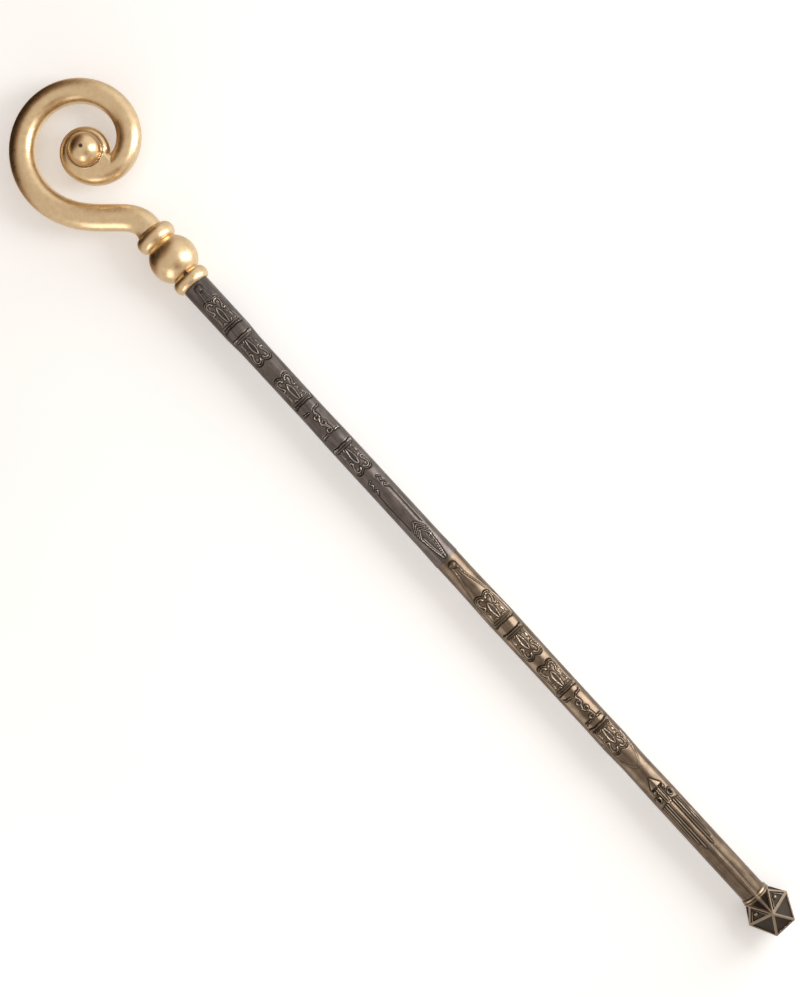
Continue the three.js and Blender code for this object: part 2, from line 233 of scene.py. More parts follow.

# %% [markdown]
# The head is gold spray over moulded plastic. Its metal flakes lie in a fine satin coat: the sheen is
# broad, and it is mottled by spray that fell a little unevenly. A noise a few millimetres wide varies
# colour and roughness, and a much finer one gives the grain of the flakes as a bump. The fine groove
# round the boss is a bump too, and a painted shade darkens its colour to brown.

# %% Gold spray
BOSS_RING = 21.6                                # radius of the fine groove round the boss
BOSS_LIP = BOSS_RING + 1.3                      # radius of the raised line outside it
GOLD_LOW, GOLD_HIGH = colour(222, 192, 148), colour(234, 208, 168)
# The last of these colours is a painted shade for the groove round the boss.
GOLD_FLAKE, GOLD_GROOVE_SHADE = colour(244, 222, 186), colour(128, 82, 40)


def gold_spray():
    material = bpy.data.materials.new("gold_spray")
    tree = Tree(material)
    place = tree.node("ShaderNodeTexCoord", output=3)
    clouds = tree.noise(place, 130.0, 5.0, 0.65)
    grain = tree.noise(place, 1500.0, 2.0, 0.6)
    to_middle = [-(EYE.x + AXIS.x) / 1000, -(EYE.y + AXIS.y) / 1000, 0]
    flat = {"Vector": place, "Location": to_middle, "Scale": (1, 1, 0)}
    round_eye = tree.node("ShaderNodeMapping", None, flat)
    reach = tree.node("ShaderNodeVectorMath", {"operation": "LENGTH"}, {0: round_eye}, output=1) * 1000.0
    height = tree.node("ShaderNodeSeparateXYZ", None, {0: place}, output=2)
    front = tree.between(height, (REST + 5) / 1000, (REST + 8) / 1000)
    groove, lip = ((1 - tree.between(tree.maths("ABSOLUTE", reach - radius), 0.1, 0.9)) * front
                   for radius in (BOSS_RING, BOSS_LIP))
    light = tree.blend(tree.between(clouds, 0.3, 0.7), GOLD_LOW, GOLD_HIGH)
    flakes = tree.blend(tree.between(grain, 0.35, 0.75) * 0.3, light, GOLD_FLAKE)
    # Painted shade: the colour darkens to brown in the groove round the boss, on the front of the eye.
    base = tree.blend(groove * 0.7, flakes, GOLD_GROOVE_SHADE)
    roughness = tree.between(clouds, 0.2, 0.8, 0.25, 0.36)
    coat = tree.bump(grain + clouds * 1.5, 0.16, 0.0004)
    bump = tree.bump(lip - groove, 1.0, 0.0007, Normal=coat)
    tree.shader(Base_Color=base, Metallic=1.0, Roughness=roughness, Normal=bump)
    return material


GOLD = gold_spray()
print("finish:", GOLD.name)

# %% [markdown]
# The staff is a dark metal paint. Its colour carries a painted highlight, lighter on the crests of the
# ornament, and a painted shade, near black in the hollows. The meshes carry two numbers at each vertex
# for this: how deep it lies in a hollow, and how high on a crest. The two sections come from two
# batches, so the upper one is a cool pewter and the lower one a browner bronze.

# %% Metal with painted highlight and shade
def metal_with_painted_light(name, low, high, crest_highlight, hollow_shade):
    material = bpy.data.materials.new(name)
    tree = Tree(material)
    place = tree.node("ShaderNodeTexCoord", output=3)
    hollow = tree.node("ShaderNodeAttribute", {"attribute_name": "hollow"}, output=2)
    crest = tree.node("ShaderNodeAttribute", {"attribute_name": "crest"}, output=2)
    stretched = tree.node("ShaderNodeMapping", None, {"Vector": place, "Scale": (1.0, 0.12, 1.0)})
    streaks = tree.noise(stretched, 260.0, 5.0, 0.6)
    clouds = tree.noise(place, 70.0, 3.0, 0.5)
    grain = tree.noise(place, 1600.0, 2.0, 0.6)
    metal = tree.blend(tree.between(streaks * 0.6 + clouds * 0.4, 0.35, 0.65), low, high)
    # Painted highlight: the colour is lightened on the crests of the relief.
    crest_lit = tree.blend(crest * 0.75, metal, crest_highlight)
    # Painted shade: the colour goes near black in the hollows of the relief.
    base = tree.blend(hollow, crest_lit, hollow_shade)
    metallic = tree.between(hollow, 0.0, 1.0, 0.95, 0.5)
    roughness = tree.between(streaks + hollow * 0.5, 0.3, 1.0, 0.27, 0.5)
    bump = tree.bump(grain + streaks * 0.8, 0.15, 0.0003)
    tree.shader(Base_Color=base, Metallic=metallic, Roughness=roughness, Normal=bump)
    return material


# For each metal, the third colour is the painted highlight of the crests and the fourth the painted shade of
# the hollows.
PEWTER = metal_with_painted_light("pewter_finish", low=colour(88, 81, 78), high=colour(118, 109, 104),
                      crest_highlight=colour(196, 184, 174), hollow_shade=colour(22, 19, 18))
BRONZE = metal_with_painted_light("bronze_finish", low=colour(96, 82, 68), high=colour(128, 111, 94),
                      crest_highlight=colour(204, 186, 164), hollow_shade=colour(24, 19, 15))
print("finishes:", PEWTER.name, BRONZE.name)

# %% [markdown]
# The two screws are plain dark steel with turning marks and a little wear.

# %% Dark steel
STEEL_DARK, STEEL_WORN = colour(58, 44, 34), colour(150, 128, 104)


def dark_steel():
    material = bpy.data.materials.new("dark_steel")
    tree = Tree(material)
    place = tree.node("ShaderNodeTexCoord", output=3)
    marks = tree.noise(place, 2600.0, 3.0, 0.6)
    base = tree.blend(tree.between(marks, 0.35, 0.7), STEEL_DARK, STEEL_WORN)
    tree.shader(Base_Color=base, Metallic=1.0, Roughness=tree.between(marks, 0.3, 0.7, 0.22, 0.4))
    return material


STEEL = dark_steel()
print("finish:", STEEL.name)

# %% [markdown]
# The crook is a round tube that leaves the knop, swings out and rolls up into an eye. Its centre line lies
# flat in one plane. Round the eye, the radius of the turn opens smoothly from the eye's own size to the
# wide outer bend, and a Bezier curve joins that turn to the collar on the knop.

# %% Centre line of the crook
EYE_TURN, WIDE_TURN = 16.8, 67.1                # radius of the turn at the eye, and how far it opens
TURN_MIDDLE, TURN_SPREAD = -37.9, 107.5         # the angle where it is half open, and how slowly it opens
TURN_TILT, TURN_TILT_AT = 3.6, 27               # the wide turn stands out this much more toward this angle
STEM_TURN, LAST_TURN = 205, -150                # the angles where the turn begins and ends
MEETING = -42                                   # the angle where the eye closes on the tube
TUBE_STEM, TUBE_EYE = 17.1, 13.4                # radius of the tube on the stem, and where it ends in the eye
EYE_FACE = 15.2                                 # height of the eye's flat face over the middle of the head
COLLAR = np.array((2.5, 84.0))                  # where the tube leaves the knop
COLLAR_HANDLE, TURN_HANDLE = (13.6, 40.5), 55.6     # the Bezier curve's handles at its two ends


def turn_radius(angle):
    opened = 0.5 + 0.5 * np.tanh((angle - TURN_MIDDLE) / TURN_SPREAD)
    return EYE_TURN + opened * (WIDE_TURN + TURN_TILT * np.cos(np.radians(angle - TURN_TILT_AT)))


def turn_point(angle):
    turn = math.radians(angle)
    return np.array(EYE) + turn_radius(angle) * np.array((math.cos(turn), math.sin(turn)))


def tube_radius(angle):
    return TUBE_STEM + (TUBE_EYE - TUBE_STEM) * (STEM_TURN - angle) / (STEM_TURN - MEETING + 360)


def smoothstep(value, low, high):
    share = np.clip((value - low) / (high - low), 0, 1)
    return share * share * (3 - 2 * share)


def crook_line(stem_steps=40, turn_steps=170):
    end = turn_point(STEM_TURN)
    into = turn_point(STEM_TURN - 1) - end
    into /= np.linalg.norm(into)
    handles = COLLAR, COLLAR + COLLAR_HANDLE, end - TURN_HANDLE * into, end
    points = []
    for t in np.linspace(0, 1, stem_steps, endpoint=False):
        shares = (1 - t) ** 3, 3 * t * (1 - t) ** 2, 3 * t * t * (1 - t), t ** 3
        points.append(sum(share * handle for share, handle in zip(shares, handles)))
    angles = np.linspace(STEM_TURN, LAST_TURN, turn_steps)
    radii = np.concatenate((np.full(stem_steps, TUBE_STEM), tube_radius(angles)))
    return np.array(points + [turn_point(angle) for angle in angles]), radii


LINE, TUBE = crook_line()
TUBE_ACROSS = TUBE - GAP * smoothstep(np.linspace(0, 1, len(LINE)), 0.8, 1)
print("centre line", round(float(np.linalg.norm(np.diff(LINE, axis=0), axis=1).sum())), "mm long")

# %% [markdown]
# The tube could be a bevelled curve. Here it is swept by hand in bmesh instead, because the end has to
# narrow into the eye: a circle is extruded from station to station and turned square to the line. It only
# has to be roughly right, since the next step settles every vertex on the exact surface.

# %% Sweep the tube
def sweep(line, across, up, sides):
    bm = bmesh.new()
    directions = np.gradient(line, axis=0)
    directions /= np.linalg.norm(directions, axis=1)[:, None]

    def station(ring, index):
        (x, y), (dx, dy) = line[index], directions[index]
        for vertex, turn in zip(ring, np.linspace(0, 2 * math.pi, sides, endpoint=False)):
            side = across[index] * math.cos(turn)
            vertex.co = (x + dy * side, y - dx * side, up[index] * math.sin(turn))

    ring = bmesh.ops.create_circle(bm, segments=sides, radius=1, cap_ends=True)["verts"]
    station(ring, 0)
    loop = list(bm.edges)
    for index in range(1, len(line)):
        made = bmesh.ops.extrude_edge_only(bm, edges=loop)["geom"]
        station([item for item in made if isinstance(item, bmesh.types.BMVert)], index)
        loop = [item for item in made if isinstance(item, bmesh.types.BMEdge)]
    bmesh.ops.holes_fill(bm, edges=loop, sides=0)
    bmesh.ops.recalc_face_normals(bm, faces=bm.faces)
    return bm


print("sweep ready")

# %% [markdown]
# The knop is turned: a ring, a ball and a second ring on one axis that leans a little to the right of the
# staff. The eye is a flat disc that follows the outside of the tube, and the boss on it is a ball. The
# shapes may overlap, because the next steps make one skin of them.

# %% Rough shapes of knop, eye and boss
LEAN = math.radians(2.8)
LOWER_RING = {"middle": 9.3, "half": 9.0, "neck": 17.6, "bulge": 6.2}
UPPER_RING = {"middle": 78.0, "half": 10.6, "neck": 18.2, "bulge": 8.0}
BALL_MIDDLE, BALL_RADIUS = 43.5, 30.75
BOSS_RADIUS, BOSS_CENTRE = 20.6, 19.4
BACK_RADIUS, BACK_CENTRE, BACK_DEPTH = 18.6, -15.3, 0.55     # the flatter boss at the back
CLOSING = 42.0                                  # degrees over which the eye's edge runs back into the tube


def outside_of_turn(angle):
    return turn_radius(angle) + tube_radius(angle)


def eye_outline(x, y):
    """How far from its middle the eye ends in the direction of x and y, and the radius of its rim there."""
    angle = np.degrees(np.arctan2(y - EYE.y, x - EYE.x))
    angle = np.where(angle > MEETING, angle - 360, angle)
    inner, outer = outside_of_turn(MEETING - 360), outside_of_turn(MEETING - CLOSING)
    closing = inner + (outer - inner) * smoothstep(MEETING - angle, 0, CLOSING)
    edge = np.where(angle > MEETING - CLOSING, closing, outside_of_turn(angle))
    return edge, np.minimum(tube_radius(angle), EYE_FACE)


def rough_head():
    bm = sweep(LINE, TUBE_ACROSS, TUBE, sides=24)
    knop = turned([(0, 0.3), (20, 0.3), (23.5, 9), (18, 18.4), (30.5, 43.5), (19, 67.5), (26, 78), (19, 88.6),
                   (0, 88.6)], steps=48)
    bmesh.ops.rotate(knop, verts=knop.verts, matrix=Matrix.Rotation(-LEAN, 3, "Z"))
    disc = bmesh.new()
    bmesh.ops.create_cone(disc, cap_ends=True, segments=96, radius1=1, radius2=1, depth=2 * EYE_FACE)
    for vertex in disc.verts:
        edge, _ = eye_outline(EYE.x + vertex.co.x, EYE.y + vertex.co.y)
        vertex.co.xy *= float(edge) - 1
    bmesh.ops.translate(disc, verts=disc.verts, vec=(EYE.x, EYE.y, 0))
    ball = bmesh.new()
    bmesh.ops.create_uvsphere(ball, u_segments=40, v_segments=24, radius=BOSS_RADIUS)
    bmesh.ops.translate(ball, verts=ball.verts, vec=(EYE.x, EYE.y, BOSS_CENTRE))
    for part in (knop, disc, ball):
        join(bm, part)
    return bm


print("eye", round(float(outside_of_turn(-180)), 1), "mm from its middle to its left edge")

# %% [markdown]
# The surface itself is written as one function that is negative inside, zero on the skin and positive
# outside. Shapes join by a soft minimum, so that the moulded fillets come for free: wide where the tube
# grows out of the knop, and almost sharp where the eye closes on the tube.

# %% The head as one surface
EYE_FILLET, BOSS_FILLET, BACK_FILLET, RING_FILLET, COLLAR_FILLET = 0.6, 0.5, 1.0, 0.8, 1.6
FAR = 1e9                                       # any distance is nearer than this


def soft_min(first, second, width):
    share = np.clip(0.5 + 0.5 * (second - first) / width, 0, 1)
    return second + (first - second) * share - width * share * (1 - share)


def nearest_stations(points, batches=40):
    return np.concatenate([((part[:, None, :2] - LINE[None]) ** 2).sum(axis=2).argmin(axis=1)
                           for part in np.array_split(points, batches)])


def to_tube(points, stations):
    best = np.full(len(points), FAR)
    spans = np.diff(LINE, axis=0)
    for offset in (-2, -1, 0, 1):
        index = np.clip(stations + offset, 0, len(spans) - 1)
        away = points[:, :2] - LINE[index]
        t = np.clip((away * spans[index]).sum(axis=1) / (spans[index] ** 2).sum(axis=1), 0, 1)
        side = np.linalg.norm(away - t[:, None] * spans[index], axis=1)
        across = TUBE_ACROSS[index] * (1 - t) + TUBE_ACROSS[index + 1] * t
        up = TUBE[index] * (1 - t) + TUBE[index + 1] * t
        best = np.minimum(best, (np.hypot(side / across, points[:, 2] / up) - 1) * up)
    return best


def to_eye(x, y, z):
    edge, rim = eye_outline(x, y)
    out, up = np.hypot(x - EYE.x, y - EYE.y) - edge + rim, np.abs(z) - (EYE_FACE - rim)
    return np.minimum(np.maximum(out, up), 0) + np.hypot(np.maximum(out, 0), np.maximum(up, 0)) - rim


def to_ring(height, reach, middle, half, neck, bulge):
    along, out = height - middle, np.maximum(reach - neck, 0)
    scaled = np.hypot(along / half, out / bulge)
    return scaled * (scaled - 1) / np.maximum(np.hypot(along / half ** 2, out / bulge ** 2), 1e-6)


def head_surface(points, stations):
    x, y, z = points.T
    tube = to_tube(points, stations)
    eye = to_eye(x, y, z)
    height = x * math.sin(LEAN) + y * math.cos(LEAN)
    reach = np.hypot(x * math.cos(LEAN) - y * math.sin(LEAN), z)
    ball = np.hypot(reach, height - BALL_MIDDLE) - BALL_RADIUS
    knop = soft_min(ball, to_ring(height, reach, **LOWER_RING), RING_FILLET)
    knop = soft_min(knop, to_ring(height, reach, **UPPER_RING), RING_FILLET)
    out = np.hypot(x - EYE.x, y - EYE.y)
    boss = np.hypot(out, z - BOSS_CENTRE) - BOSS_RADIUS
    back = (np.hypot(out, (z - BACK_CENTRE) / BACK_DEPTH) - BACK_RADIUS) * BACK_DEPTH
    body = soft_min(tube, eye, EYE_FILLET)
    body = soft_min(body, boss, BOSS_FILLET)
    body = soft_min(body, back, BACK_FILLET)
    return soft_min(body, knop, COLLAR_FILLET)


def settle(bm, surface, rounds=3, step=0.02, longest=2.0, least_slope=0.05):
    """Walks every vertex to the surface by Newton's method. The foot and the lower end stay flat."""
    points = np.array([vertex.co[:] for vertex in bm.verts])
    for _ in range(rounds):
        stations = nearest_stations(points)
        value = surface(points, stations)
        slope = np.stack([surface(points + offset, stations) - surface(points - offset, stations)
                          for offset in np.eye(3) * step], axis=1) / (2 * step)
        away = value / np.maximum((slope ** 2).sum(axis=1), least_slope)
        points -= np.clip(away, -longest, longest)[:, None] * slope
    points[:, 2] = np.maximum(points[:, 2], -REST)
    points[:, 1] = np.maximum(points[:, 1], GAP)
    for vertex, point in zip(bm.verts, points):
        vertex.co = point


print("surface ready, at the middle of the boss", round(BOSS_CENTRE + BOSS_RADIUS, 1), "mm high")

# %% [markdown]
# Remesh makes one skin of the rough shapes, settling brings it to the true surface, and two drills cut the
# holes of the screws.

# %% Make the head
KNOP_HOLE = {"x": 0.8, "y": 17, "floor": 12, "radius": 3.25}
BOSS_HOLE = {"x": EYE.x - 0.5, "y": EYE.y + 1, "floor": 37.8, "radius": 2.7}


def drilled(piece, x, y, floor, radius, depth=30):
    drill = bmesh.new()
    bmesh.ops.create_cone(drill, cap_ends=True, segments=40, radius1=radius, radius2=radius, depth=depth)
    bmesh.ops.translate(drill, verts=drill.verts, vec=(x, y, floor + depth / 2))
    tool = piece_from(drill, "drill")
    cut = piece.modifiers.new("hole", "BOOLEAN")
    cut.operation, cut.object, cut.solver = "DIFFERENCE", tool, "EXACT"
    made = evaluated(piece)
    bpy.data.objects.remove(tool)
    return piece_from(made, "head", to_frame=False)


def head():
    rough = piece_from(rough_head(), "rough_head", to_frame=False)
    remesh = rough.modifiers.new("one_skin", "REMESH")
    remesh.mode, remesh.voxel_size = "VOXEL", 1.05
    bm = evaluated(rough)
    settle(bm, head_surface)
    piece = piece_from(bm, "head")
    for hole in (KNOP_HOLE, BOSS_HOLE):
        piece = drilled(piece, **hole)
    dress(piece, "crook_head", GOLD)


head()

# %% [markdown]
# The ornament of the staff is too fine for solids, but it must catch the light as real relief. Each staff
# section is a grid that is wrapped round the axis, with close columns at the front and back where the
# relief lies. The relief is drawn flat: strokes are lists of points, u across from the front line and v
# along the staff, and every vertex is lifted or sunk by its distance from them.

# %% Strokes of relief
def smooth_path(points, steps=5):
    points = np.array(points, float)
    if len(points) < 3:
        return points
    ends = np.vstack((2 * points[0] - points[1], points, 2 * points[-1] - points[-2]))
    made = []
    for before, start, end, after in zip(ends, ends[1:], ends[2:], ends[3:]):
        for t in np.linspace(0, 1, steps, endpoint=False):
            square = 2 * before - 5 * start + 4 * end - after
            cube = 3 * start - before - 3 * end + after
            made.append(0.5 * (2 * start + (end - before) * t + square * t ** 2 + cube * t ** 3))
    return np.array(made + [points[-1]])


class Relief:
    """Heights over the plain staff at points (u, v), built up stroke by stroke."""

    def __init__(self, u, v):
        self.u, self.v = u, v
        self.ridge, self.groove, self.plate = np.zeros_like(u), np.zeros_like(u), np.zeros_like(u)

    def away(self, path, reach):
        """The points near a path, and their distances from it."""
        low, high = path.min(axis=0) - reach, path.max(axis=0) + reach
        near = np.nonzero((self.u > low[0]) & (self.u < high[0]) & (self.v > low[1]) & (self.v < high[1]))[0]
        place = np.stack((self.u[near], self.v[near]), axis=1)
        best = np.full(len(near), FAR)
        for start, span in zip(path, np.diff(path, axis=0)):
            t = np.clip((place - start) @ span / max(span @ span, 1e-9), 0, 1)
            best = np.minimum(best, np.linalg.norm(place - start - t[:, None] * span, axis=1))
        return near, best

    def bead(self, points, width=0.9, rise=0.9, channel=0.0):
        """A round raised stroke, with a channel along both its sides if asked."""
        near, away = self.away(smooth_path(points), width + 1.6)
        swell = rise * np.cos(np.clip(away / width, 0, 1) * math.pi / 2) ** 1.5
        self.ridge[near] = np.maximum(self.ridge[near], swell)
        if channel:
            sink = channel * np.exp(-((away - width - 0.45) / 0.6) ** 2)
            self.groove[near] = np.maximum(self.groove[near], sink)

    def cut(self, points, width=0.7, depth=0.6):
        """A sunk stroke."""
        near, away = self.away(smooth_path(points), 2.5 * width)
        self.groove[near] = np.maximum(self.groove[near], depth * np.exp(-(away / width) ** 2))

    def both(self, stroke, points, **sizes):
        """The same stroke right and left of the front line."""
        for hand in (1, -1):
            stroke([(hand * u, v) for u, v in points], **sizes)

    def raise_inside(self, points, rise, edge=0.8):
        """A flat plate inside a closed outline."""
        corners = smooth_path(points + points[:1])
        inside = np.zeros(len(self.u), bool)
        for (u0, v0), (u1, v1) in zip(corners, corners[1:]):
            crosses = (v0 > self.v) != (v1 > self.v)
            inside ^= crosses & (self.u < (u1 - u0) * (self.v - v0) / (v1 - v0 + 1e-12) + u0)
        near, away = self.away(corners, edge + 1)
        lift = np.where(inside, 1.0, 0.0)
        lift[near] = np.clip(0.5 + np.where(inside[near], away, -away) / edge, 0, 1)
        self.plate = np.maximum(self.plate, rise * lift)

    def height(self):
        covered = np.clip(self.ridge / 0.35, 0, 1)
        return self.plate + self.ridge - self.groove * (1 - covered)

    # The next two give the share of painted shade in the hollows and of painted highlight on the crests.
    def hollow(self):
        return np.clip(self.groove / 0.55, 0, 1) * (1 - np.clip(self.ridge / 0.4, 0, 1))

    def crest(self):
        return np.clip((self.ridge - 0.35) / 0.5, 0, 1)


print("strokes ready")

# %% [markdown]
# The motif that returns most is a scrolled cartouche: a framed plate with two scrolls at one end and a
# flared foot at the other, and two slender leaves between. Some stand upright and some are upside down, so
# it is drawn once from its scrolled end and placed with a direction.

# %% Cartouche
FRAME_MIDDLE = 22
FRAME_EDGE = [(0.6, 3.4), (5.4, 0.2), (11.4, 2), (13.2, 9), (11.6, 19), (10.6, 28), (11.6, 36), (15.6, 41.2),
              (14.6, 45), (7, 44), (0.4, 44.4)]
FRAME_SCROLL = [(2.2, 7.8), (3.4, 4.9), (7, 3.8), (9.9, 6.8), (9.4, 12), (7.0, 16), (7.6, 19.4), (9.6, 18.6)]


def frame_edge(across, along):
    """The frame's right edge, scaled from its middle."""
    return [(u * across, FRAME_MIDDLE + (v - FRAME_MIDDLE) * along) for u, v in FRAME_EDGE]


def cartouche(relief, end, way, plain=False):
    def place(points):
        return [(u, end - way * v) for u, v in points]

    relief.raise_inside(place(FRAME_EDGE + [(-u, v) for u, v in reversed(FRAME_EDGE)]), 0.35)
    relief.both(relief.cut, place(frame_edge(1.045, 1.03)), width=0.75, depth=0.8)
    relief.both(relief.bead, place(frame_edge(0.94, 0.96)), width=0.9, rise=0.75)
    relief.both(relief.bead, place(FRAME_SCROLL), width=1.15, rise=0.9, channel=0.5)
    relief.bead(place([(-12, 39.8), (12, 39.8)]), width=0.9, rise=0.7, channel=0.5)
    if plain:
        return
    relief.both(relief.bead, place([(5.6, 8.4), (6.8, 7.4), (7.2, 9.2), (5.8, 9.8)]), width=0.9, rise=0.7)
    relief.both(relief.bead, place([(0.2, 13.5), (2.7, 20), (2.6, 28), (0.9, 36.5)]), width=0.95, rise=0.8,
                channel=0.45)
    relief.cut(place([(0, 15), (0, 37)]), width=0.6, depth=0.6)
    side_leaf = [(3.4, 37.2), (5.4, 34.8), (7.4, 36.8), (9.0, 33.6), (8.6, 27)]
    relief.both(relief.bead, place(side_leaf), width=0.8, rise=0.7, channel=0.35)
    relief.both(relief.cut, place([(4.6, 22), (6.4, 26), (5.6, 32)]), width=0.5, depth=0.35)


print("cartouche ready")

# %% [markdown]
# Between the cartouches lie smaller motifs: a chain of curls between brackets, long arched lines that leave
# each stud, a ribbon panel, and a leaf fletched like an arrow. Each is drawn downward from the height where
# it starts.

# %% Smaller motifs
def curl(relief, u, v, hand, size=4.0, beads=8):
    turns = np.radians(150 - 50 * np.arange(beads))
    reach = size * (0.5 + 0.07 * np.arange(beads))
    coil = [(u + hand * r * math.cos(t), v + r * math.sin(t)) for r, t in zip(reach, turns)]
    relief.bead(coil + [(u - hand * size * 0.5, v + 2.0 * size)], width=0.95, rise=0.9, channel=0.5)
    relief.cut([(u, v), (u + 0.2, v + 0.2)], width=1.1, depth=0.7)


def filigree(relief, start, end, plain=False):
    length = start - end
    for v, lift in ((start - 1, 1.4), (end + 1.5, -1.4)):
        bracket = [(4.6, v - lift * 0.3), (8, v), (12.0, v), (13.0, v + lift)]
        relief.both(relief.bead, bracket, width=1.0, rise=0.9, channel=0.6)
    if plain:
        return
    for u, share, hand in ((-0.5, 0.3, -1), (2.2, 0.56, 1), (0.8, 0.86, -1)):
        curl(relief, u, start - share * length, hand)
    relief.bead([(3.5, start - 2), (1.0, start - 6), (3.2, start - 11), (0, start - 17), (-2.6, start - 22),
                 (1.4, start - 27), (3.8, start - 33)], width=0.8, rise=0.7, channel=0.35)


def arch_lines(relief, start):
    path = [(3.4, start), (5.4, start - 18), (12, start - 42), (17, start - 60), (19, start - 92)]
    relief.both(relief.bead, path, width=1.0, rise=0.5, channel=0.3)
    relief.cut([(0.0, start - 4), (0.0, start - 14)], width=0.6, depth=0.6)


def stud(relief, v, radius=5.0, rise=3.0):
    away = np.hypot(relief.u, relief.v - v)
    dome = rise * np.sqrt(np.clip(1 - (away / radius) ** 2, 0, 1))
    relief.plate = np.maximum(relief.plate, dome)
    relief.groove = np.maximum(relief.groove, 0.5 * np.exp(-((away - radius - 0.5) / 0.6) ** 2))


def ribbon_panel(relief, start):
    relief.both(relief.bead, [(8.6, start - 1), (8.6, start - 27), (8.4, start - 57)], width=0.8, rise=0.5)
    relief.both(relief.cut, [(9.9, start), (9.9, start - 27), (9.6, start - 58)], width=0.7, depth=0.7)


def fletched_leaf(relief, start, feathers=4, veins=11):
    for step in range(feathers):
        v = start - 4.2 * step
        relief.both(relief.bead, [(0.8, v), (5, v - 6.5), (8.6 - 0.3 * step, v - 12.5)], channel=0.5)
    relief.both(relief.bead, [(6.8, start - 22), (5.0, start - 39), (1.4, start - 58)], width=1.1, rise=0.9,
                channel=0.6)
    relief.both(relief.bead, [(4.4, start - 23), (3.0, start - 39), (0.6, start - 53)], width=0.8, rise=0.7,
                channel=0.3)
    for share in np.linspace(0, 1, veins):
        u, v = 7.6 - 5.6 * share, start - 23 - 33 * share
        relief.both(relief.cut, [(u - 0.6, v), (u + 1.5, v - 1.4)], width=0.5, depth=0.6)


def small_curls(relief, start):
    for path in ([(5.0, 0), (8.6, 2.5), (6.2, 6.6), (9.4, 11)], [(9.2, 13), (5.8, 14.8), (9.0, 19)]):
        relief.both(relief.bead, [(u, start - v) for u, v in path], channel=0.6)


print("motifs ready")

# %% [markdown]
# Now the grid itself. Columns are 0.6 mm apart at the front and wider at the sides; rows are close only
# where there is relief. The seam where the grid meets itself is merged and both ends are closed. The same
# relief runs down the back, in a plainer form, as a two-part mould would give it.

# %% Wrap a staff section
COLUMNS = np.concatenate((np.linspace(-60, 60, 60, endpoint=False), np.linspace(60, 122, 10, endpoint=False),
                          np.linspace(122, 238, 44, endpoint=False), np.linspace(238, 300, 11)))


def rows_between(stretches):
    rows = [np.arange(start, end, -step) for start, end, step in stretches]
    return np.concatenate(rows + [[stretches[-1][1]]])


def sleeve(rows, profile, carve, plain_carve):
    bm = bmesh.new()
    bmesh.ops.create_grid(bm, x_segments=len(COLUMNS) - 1, y_segments=len(rows) - 1, size=1)
    grid = np.array([vertex.co[:2] for vertex in bm.verts])
    column = np.rint((grid[:, 0] + 1) / 2 * (len(COLUMNS) - 1)).astype(int)
    row = np.rint((grid[:, 1] + 1) / 2 * (len(rows) - 1)).astype(int)
    angle, along = np.radians(COLUMNS[column]), rows[row]
    heights, radii = np.array(profile)[::-1].T      # interp asks for rising heights
    radius = np.interp(along, heights, radii)
    front = np.abs(COLUMNS[column]) < 90
    across = np.where(front, angle, math.pi - angle) * radius
    lift, hollow_values, crest_values = np.zeros(len(grid)), np.zeros(len(grid)), np.zeros(len(grid))
    for side, draw in ((front, carve), (~front, plain_carve)):
        relief = Relief(across[side], along[side])
        draw(relief)
        lift[side], hollow_values[side], crest_values[side] = relief.height(), relief.hollow(), relief.crest()
    # These two numbers carry the painted shade of the hollows and the painted highlight of the crests.
    hollow, crest = bm.verts.layers.float.new("hollow"), bm.verts.layers.float.new("crest")
    reach = radius + lift
    for vertex, r, a, y, deep, high in zip(bm.verts, reach, angle, along, hollow_values, crest_values):
        vertex.co = (r * math.sin(a), y, r * math.cos(a))
        vertex[hollow], vertex[crest] = deep, high
    bmesh.ops.remove_doubles(bm, verts=bm.verts, dist=1e-3)
    bmesh.ops.holes_fill(bm, edges=[edge for edge in bm.edges if edge.is_boundary], sides=0)
    bmesh.ops.recalc_face_normals(bm, faces=bm.faces)
    return bm


print(len(COLUMNS), "columns round the staff")

# %% [markdown]
# The upper section is slightly wider for its first 80 mm, like a sleeve, and swells again at the seam. Four
# cartouches, the chain, small curls, the ribbon panel and the fletched leaf follow each other down its
# front.

# %% Upper section
ROW, WIDE_ROW = 0.62, 0.68                      # from row to row under the finest relief, and under the rest
COARSER = 1
UPPER_PROFILE = [(0, 17.6), (-78, 17.4), (-100, 16), (-220, 15.6), (-262, 16.2), (-435, 16.4), (-463, 17.2)]
UPPER_CARTOUCHES = [(-26, 1), (-130, -1), (-155, 1), (-314, -1)]     # scrolled end, and 1 if it is on top


def upper_relief(relief, plain=False):
    stud(relief, -7.5)
    arch_lines(relief, -9)
    for end, way in UPPER_CARTOUCHES:
        cartouche(relief, end, way, plain)
    filigree(relief, -212, -251, plain)
    small_curls(relief, -327)
    ribbon_panel(relief, -348)
    fletched_leaf(relief, -401)


def upper_section():
    rows = rows_between([(0, SEAM, ROW * COARSER)])
    bm = sleeve(rows, UPPER_PROFILE, upper_relief, lambda relief: upper_relief(relief, plain=True))
    dress(piece_from(bm, "upper_staff"), "staff_upper", PEWTER)


upper_section()

# %% [markdown]
# The lower section carries four more cartouches, a second chain, and near its end a spearhead whose ridge
# runs on down to the pommel, with small curls, two ringed rosettes and short flutes beside it.

# %% Lower section and its relief
STAFF_END = -1034
LOWER_PROFILE = [(-463, 16.6), (-500, 16.6), (-560, 17.6), (-640, 16.9), (-735, 16.9), (-772, 17.3),
                 (-806, 16.1), (-862, 16.7), (STAFF_END, 16.8)]
LOWER_CARTOUCHES = [(-523, 1), (-627, -1), (-639, 1), (-785, -1)]
SPEAR_TIP, SPEAR_BASE, SPEAR_HALF = -832, -846, 8.2


